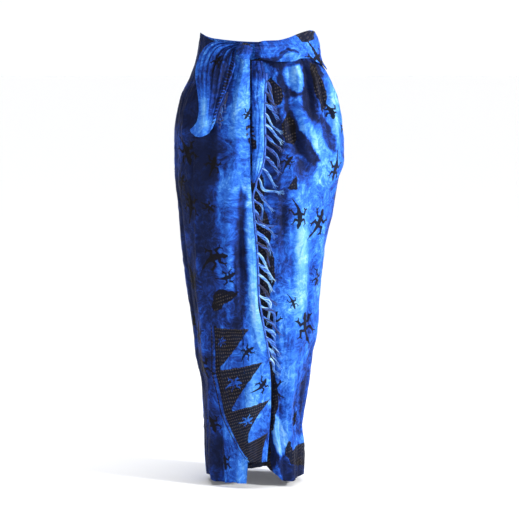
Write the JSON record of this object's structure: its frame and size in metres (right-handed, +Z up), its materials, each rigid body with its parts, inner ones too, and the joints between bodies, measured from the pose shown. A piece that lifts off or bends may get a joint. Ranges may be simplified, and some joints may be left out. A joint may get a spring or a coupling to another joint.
{
  "type": "sarong",
  "caption": "Ankle-length wrapped sarong of thin printed cloth, open at waist and hem, with a fringed overlap down the front, a gathered waist band and a knot with hanging tie ends.",
  "frame": {"origin": "middle of the waist opening, at the level where the wearer's waist holds the cloth", "axes": "+Z up, -Y towards the front with the knot, +X towards the right side as seen from the front"},
  "size_m": [0.3846, 0.26, 1.024],
  "materials": {
    "cloth": "soft sheen, thin printed rayon",
    "fringe": "twisted rayon yarn"
  },
  "bodies": {
    "root": {"under_layer_right_front": "cloth", "back": "cloth", "left_front_panel": "cloth", "waist_band": "cloth", "knot": "cloth", "left_tail": "cloth", "centre_tail": "cloth", "front_fringe": "fringe", "tail_fringe": "fringe"}
  },
  "joints": []
}
